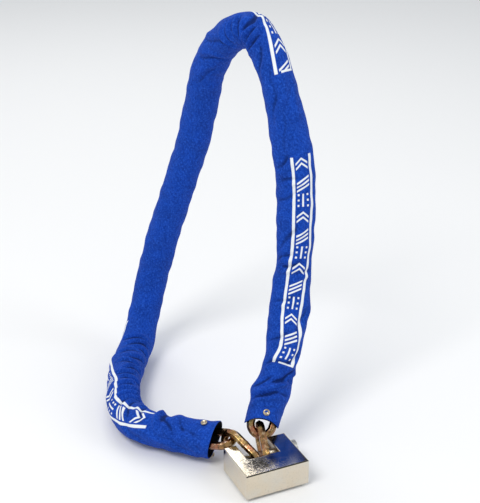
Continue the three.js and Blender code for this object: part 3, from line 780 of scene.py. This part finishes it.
def link_mesh(name, edge):
    """A link's surface: the bar's section is carried round a loop of two straight sides and two
    half circles, in the plane and of the size of the CAD node. A weld bead rings the middle of one
    straight side, swelling the section by a bell curve along it."""
    middle, directions, size = node_frame(name)
    flats = size[2]
    corner = flats / np.sqrt(3)
    arc = size[1] / 2 - corner
    span = size[0] - size[1]
    turn = np.linspace(-np.pi / 2, np.pi / 2, 25)
    straight = np.linspace(0, 1, 22)[1:-1]
    right = np.stack([span / 2 + arc * np.cos(turn), arc * np.sin(turn)], 1)
    top = np.stack([span / 2 - span * straight, arc + 0 * straight], 1)
    path = np.vstack([right, top, -right, -top])
    out = np.vstack([
        np.stack([np.cos(turn), np.sin(turn)], 1), np.stack([0 * straight, 1 + 0 * straight], 1),
        -np.stack([np.cos(turn), np.sin(turn)], 1), np.stack([0 * straight, -1 + 0 * straight], 1)])
    section = rounded_hexagon(flats, edge)
    bead = np.zeros(len(path))
    first = len(right)
    bead[first:first + len(top)] = 0.5 * MM * band((straight - 0.5) * span, 0, 1.3 * MM)
    swell = 1 + bead / corner
    flat = path[:, None] + out[:, None] * (section[None, :, :1] * swell[:, None, None])
    high = section[None, :, 1] * swell[:, None]
    axis, across = directions[0], directions[1]
    normal = np.cross(axis, across)
    return middle + flat[..., :1] * axis + flat[..., 1:] * across + high[..., None] * normal


def plating_material(settings):
    """Yellow plating that drifts to pink and green, with dark grime patches made darker as painted
    dark reflections, and bright spots of painted highlight.
    """
    shop = Shop("Yellow zinc plating")
    main = tuple(settings.plating)
    tint = shop.noise(46.0, 3.0, 0.6)
    hue = shop.node("ShaderNodeValToRGB", {"stops": (
        (0.0, (0.48, 0.20, 0.14)), (0.40, (0.48, 0.21, 0.12)), (0.50, main),
        (0.58, (0.40, 0.28, 0.10)), (0.64, (0.30, 0.28, 0.14)), (0.72, (0.54, 0.30, 0.23)))},
        {"Fac": tint})["Color"]
    grime_and_dark_reflection = shop.noise(180.0, 4.0, 0.65)
    streak = shop.noise(420.0, 3.0, 0.6)
    # Dark grime patches, made darker and sharper than grime alone as painted dark reflections.
    color = shop.mix(grime_and_dark_reflection.rise(0.47, 0.64) * 0.78, hue, (0.10, 0.055, 0.03))
    # Painted highlights: bright pale spots over the plating.
    color = shop.mix(shop.noise(240.0, 2.0).rise(0.54, 0.66) * 0.55, color, (0.82, 0.62, 0.42))
    shop.set(Base_Color=color, Metallic=1.0, Roughness=streak * 0.20 + grime_and_dark_reflection * 0.12 + 0.05)
    shop.bump(grime_and_dark_reflection * 0.5 + streak * 0.5, 0.25, 0.0003)
    return shop.material


class OBJECT_OT_chain_lock_links(bpy.types.Operator):
    """Builds the links that show: the two that hook the bar and those near the sleeve's mouths"""

    bl_idname = "object.chain_lock_links"
    bl_label = "Links"

    def execute(self, context):
        settings = context.scene.chain_lock_chain
        material = plating_material(settings)
        shown = ["end_link_right", "end_link_left"]
        shown += [f"chain_link_{i:02d}" for i in (1, 2, LINK_COUNT - 1, LINK_COUNT)]
        for name in shown:
            points = link_mesh(name, settings.edge)
            faces = grid_faces(*points.shape[:2], closed_rows=True)
            body = frame["nodes"][name]["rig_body"]
            piece = make_piece(name + "_bar", points, faces, material, body)
            face_outwards(piece)
            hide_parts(name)
        for name, node in frame["nodes"].items():
            if name.startswith("chain_link") and name not in shown:
                dress(node, material)
        return {"FINISHED"}


# ---- Rivets ----
def rivet_outline(radius, height):
    """A tubular rivet's head, as (distance along its axis, radius) pairs: a rolled rim that falls
    to a shallow cup in the middle."""
    turn = np.linspace(0, np.pi / 2, 7)
    rim = [(height * (0.35 + 0.65 * np.sin(t)), radius * (0.72 + 0.28 * np.cos(t))) for t in turn]
    cup = [(height * (0.78 + 0.22 * np.cos(t * 2)), radius * (0.72 - 0.34 * t / (np.pi / 2)))
           for t in turn[1:]]
    return [(0.0, 1e-6), (0.0, radius)] + rim + cup + [(height * 0.5, 1e-6)]


def rivet_material():
    """Dull yellow metal with grime."""
    shop = Shop("Rivet plating")
    grime = shop.noise(500.0, 3.0, 0.6)
    color = shop.mix(grime.rise(0.4, 0.7), (0.62, 0.54, 0.40), (0.34, 0.27, 0.18))
    shop.set(Base_Color=color, Metallic=1.0, Roughness=grime * 0.3 + 0.2)
    return shop.material


class OBJECT_OT_chain_lock_rivets(bpy.types.Operator):
    """Builds the rivets at the sleeve's mouths"""

    bl_idname = "object.chain_lock_rivets"
    bl_label = "Rivets"

    def execute(self, context):
        material = rivet_material()
        for side in SIDES:
            for name in (f"sleeve_rivet_{side}", f"sleeve_rivet_{side}_cap"):
                dress(frame["nodes"][name], material)
            self.head(f"sleeve_rivet_{side}", f"sleeve_rivet_{side}_cap", side, material)
        return {"FINISHED"}

    @staticmethod
    def head(post, cap, side, material):
        """A rolled head at each end of a rivet, on the line from its cap to its post's head."""
        cap_middle = node_points(cap).mean(0)
        points = node_points(post)
        far = points[np.argmax(np.linalg.norm(points - cap_middle, axis=1))]
        middle, directions, _ = node_frame(post)
        axis = directions[0] * np.sign((far - cap_middle) @ directions[0])
        outline = rivet_outline(RIVET_RADIUS, RIVET_HEIGHT)
        ends = {"head": (far - middle) @ axis, "cap": (cap_middle - middle) @ axis}
        for label, reach in ends.items():
            way = axis * np.sign(reach)
            seat = middle + way * (abs(reach) - RIVET_SEATS[label])
            surface = lathe(outline, seat, way, 32)
            faces = grid_faces(*surface.shape[:2])
            piece = make_piece(
                f"rivet_{side}_{label}", surface, faces, material, "chain")
            face_outwards(piece)
            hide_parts(post if label == "head" else cap)


# ---- Padlock ----
def nickel_material(settings):
    """Cloudy nickel with specks and scuffs. The top face has a worn, pitted square patch and a
    round stain, and its front edge is dark."""
    shop = Shop("Nickel plating")
    main = tuple(settings.nickel)
    where = shop.node("ShaderNodeSeparateXYZ", {}, {"Vector": shop.place()})
    x, y, z = (Wave(shop, where[axis]) for axis in ("X", "Y", "Z"))
    cloud = shop.noise(28.0, 4.0, 0.6)
    specks = shop.noise(620.0, 3.0, 0.7)
    scuffs = shop.noise(150.0, 5.0, 0.7, stretch=(0.35, 2.2, 1.0), turn=(0, 0, 0.5))
    warm = tuple(c * m for c, m in zip(main, (1.04, 0.97, 0.88)))
    color = shop.mix(cloud.rise(0.35, 0.65), main, warm)
    color = shop.mix(specks.rise(0.52, 0.72) * 0.28, color, (0.26, 0.23, 0.18))
    top = z.rise(*TOP_FACE)
    worn = (x - WORN_PLACE[0]).size().most((y - WORN_PLACE[1]).size()).rise(0.020, 0.006) * top
    stain_x, stain_y = x - STAIN_PLACE[0], y - STAIN_PLACE[1]
    stain = (stain_x * stain_x + stain_y * stain_y).rise(0.00042, 0.00008) * top
    color = shop.mix(stain * (cloud.rise(0.30, 0.6) * 0.35 + 0.5), color, (0.085, 0.08, 0.07))
    pits = (shop.noise(360.0, 4.0, 0.75) + worn * 0.10).rise(0.55, 0.63) * worn
    color = shop.mix(pits * 0.85, color, (0.035, 0.03, 0.025))
    rim = z.rise(*TOP_EDGE) * y.rise(*FRONT_EDGE)
    color = shop.mix(rim * 0.92, color, (0.02, 0.02, 0.018))
    rough = cloud.rise(0.45, 0.7) * 0.10 + specks * 0.12 + scuffs.rise(0.5, 0.7) * 0.08 + 0.03
    shop.set(Base_Color=color, Metallic=1.0, Roughness=rough + pits * 0.4)
    shop.bump(specks * 0.6 + cloud * 1.2 + scuffs * 0.4 - pits * 0.8, 0.22, 0.0004)
    return shop.material


def steel_material(settings):
    """Steel with fine turning marks round the bar."""
    shop = Shop("Bar steel")
    turned = shop.noise(260.0, 3.0, 0.6, stretch=(6.0, 1.0, 1.0))
    color = shop.mix(turned.rise(0.4, 0.7), tuple(settings.steel), (0.40, 0.38, 0.34))
    shop.set(Base_Color=color, Metallic=1.0, Roughness=turned * 0.25 + 0.18)
    shop.bump(turned, 0.12, 0.0003)
    return shop.material


def brass_material():
    """Brass, dulled in patches."""
    shop = Shop("Cylinder brass")
    dull = shop.noise(300.0, 3.0, 0.6)
    color = shop.mix(dull.rise(0.4, 0.7), (0.70, 0.50, 0.22), (0.50, 0.34, 0.14))
    shop.set(Base_Color=color, Metallic=1.0, Roughness=dull * 0.25 + 0.25)
    return shop.material


def rubber_material():
    """Black rubber with a little dust."""
    shop = Shop("Seal rubber")
    dust = shop.noise(400.0, 3.0, 0.6)
    color = shop.mix(dust.rise(0.5, 0.8) * 0.3, (0.012, 0.012, 0.013), (0.06, 0.06, 0.06))
    shop.set(Base_Color=color, Roughness=dust * 0.2 + 0.6)
    return shop.material


class OBJECT_OT_chain_lock_padlock(bpy.types.Operator):
    """Finishes the padlock's block, bar and cylinder"""

    bl_idname = "object.chain_lock_padlock"
    bl_label = "Padlock"

    def execute(self, context):
        settings = context.scene.chain_lock_padlock
        steel = steel_material(settings)
        brass = brass_material()
        finishes = {
            "lock_body": nickel_material(settings), "locking_bar": steel, "cylinder_collar": steel,
            "drill_guard": steel, "locking_cam": steel, "head_seal": rubber_material(),
            "cylinder_core": brass, "side_bar": brass}
        finishes.update({f"disc_{i}": brass for i in range(1, 7)})
        for name, material in finishes.items():
            dress(frame["nodes"][name], material)
        return {"FINISHED"}


# ---- Stage ----
def flat_panel(name, corners, finish, color):
    """A matt panel of one face between four corners."""
    mesh = bpy.data.meshes.new(name)
    mesh.from_pydata(corners, [], [(0, 1, 2, 3)])
    shop = Shop(finish)
    shop.set(Base_Color=color, Roughness=0.9)
    mesh.materials.append(shop.material)
    panel = bpy.data.objects.new(name, mesh)
    bpy.context.scene.collection.objects.link(panel)
    return panel


def stage_floor(settings, height):
    """A large square floor at a height."""
    half = settings.floor_size / 2
    corners = [
        (-half, -half, height), (half, -half, height), (half, half, height), (-half, half, height)]
    return flat_panel("Floor", corners, "Pale floor", tuple(settings.floor))


def dark_screen(middle, width, height):
    """A dark upright screen behind the padlock, which only shiny surfaces see."""
    x, y, z = middle
    corners = [(x - width / 2, y, z - height / 2), (x + width / 2, y, z - height / 2),
               (x + width / 2, y, z + height / 2), (x - width / 2, y, z + height / 2)]
    screen = flat_panel("Dark screen", corners, "Dark screen", (0.02, 0.018, 0.016))
    screen.visible_camera = False
    screen.visible_diffuse = False
    screen.visible_shadow = False
    return screen


def stage_light(name, energy, place, size, color=(1, 1, 1)):
    """A square lamp at a place, turned to the part."""
    lamp = bpy.data.lights.new(name, "AREA")
    lamp.energy = energy
    lamp.color = color
    lamp.size = size
    light = bpy.data.objects.new(name, lamp)
    bpy.context.scene.collection.objects.link(light)
    light.location = place
    way = Vector(LAMP_AIM) - Vector(place)
    light.rotation_euler = way.to_track_quat("-Z", "Y").to_euler()
    return light


def stage_world():
    """Soft light from all round."""
    world = bpy.data.worlds.new("Studio")
    world.use_nodes = True
    background = world.node_tree.nodes["Background"].inputs
    background["Color"].default_value = (0.94, 0.97, 1.0, 1.0)
    background["Strength"].default_value = 0.66
    bpy.context.scene.world = world


def stage_camera():
    """A camera at its place, turned along its way."""
    lens = bpy.data.cameras.new("Camera")
    lens.lens = CAMERA_LENS
    lens.sensor_width = 36.0
    lens.sensor_fit = "HORIZONTAL"
    camera = bpy.data.objects.new("Camera", lens)
    bpy.context.scene.collection.objects.link(camera)
    camera.location = CAMERA_PLACE
    camera.rotation_euler = Vector(CAMERA_WAY).to_track_quat("-Z", "Y").to_euler()
    bpy.context.scene.camera = camera
    return camera


class OBJECT_OT_chain_lock_stage(bpy.types.Operator):
    """Builds the floor, the lights and the camera"""

    bl_idname = "object.chain_lock_stage"
    bl_label = "Stage"

    def execute(self, context):
        settings = context.scene.chain_lock_stage
        floor = stage_floor(settings, CAD_BOX[0][2] - FLOOR_GAP)
        lights = [
            stage_light("Key", 34.0, (-1.5, -0.8, 1.8), 1.1, (1.0, 0.98, 0.95)),
            stage_light("Fill", 12.0, (1.5, -1.4, 0.9), 1.2, (0.93, 0.96, 1.0)),
            stage_light("Back", 12.0, (0.3, 1.7, 1.5), 1.2),
        ]
        screen = dark_screen((0.64, 1.0, 0.52), 0.35, 0.60)
        stage_world()
        camera = stage_camera()
        context.scene.view_settings.view_transform = "Standard"
        return {"FINISHED"}


# ---- Sidebar ----
class VIEW3D_PT_chain_lock(bpy.types.Panel):
    bl_label = "Chain lock"
    bl_idname = "VIEW3D_PT_chain_lock"
    bl_space_type = "VIEW_3D"
    bl_region_type = "UI"
    bl_category = "Chain lock"

    def draw(self, context):
        for name, group, operator in PIECES:
            column = self.layout.box().column()
            column.label(text=name)
            settings = getattr(context.scene, group, None) if group else None
            if settings is not None:
                for key in settings.__annotations__:
                    column.prop(settings, key)
            column.operator(operator)


PIECES = (
    ("Sleeve", "chain_lock_sleeve", "object.chain_lock_sleeve"),
    ("Links", "chain_lock_chain", "object.chain_lock_links"),
    ("Rivets", None, "object.chain_lock_rivets"),
    ("Padlock", "chain_lock_padlock", "object.chain_lock_padlock"),
    ("Stage", "chain_lock_stage", "object.chain_lock_stage"),
)
GROUPS = {
    "chain_lock_sleeve": SleeveSettings, "chain_lock_chain": ChainSettings,
    "chain_lock_padlock": PadlockSettings, "chain_lock_stage": StageSettings,
}
OPERATORS = (
    OBJECT_OT_chain_lock_sleeve, OBJECT_OT_chain_lock_links, OBJECT_OT_chain_lock_rivets,
    OBJECT_OT_chain_lock_padlock, OBJECT_OT_chain_lock_stage,
)


def register():
    for name, group in GROUPS.items():
        bpy.utils.register_class(group)
        setattr(bpy.types.Scene, name, bpy.props.PointerProperty(type=group))
    for operator in OPERATORS:
        bpy.utils.register_class(operator)
    bpy.utils.register_class(VIEW3D_PT_chain_lock)


def unregister():
    bpy.utils.unregister_class(VIEW3D_PT_chain_lock)
    for operator in reversed(OPERATORS):
        bpy.utils.unregister_class(operator)
    for name, group in GROUPS.items():
        delattr(bpy.types.Scene, name)
        bpy.utils.unregister_class(group)


def main():
    """Registers the add-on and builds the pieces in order."""
    register()
    bpy.ops.object.chain_lock_sleeve()
    bpy.ops.object.chain_lock_links()
    bpy.ops.object.chain_lock_rivets()
    bpy.ops.object.chain_lock_padlock()
    bpy.ops.object.chain_lock_stage()
    bpy.context.view_layer.update()


if __name__ == "__main__":
    main()
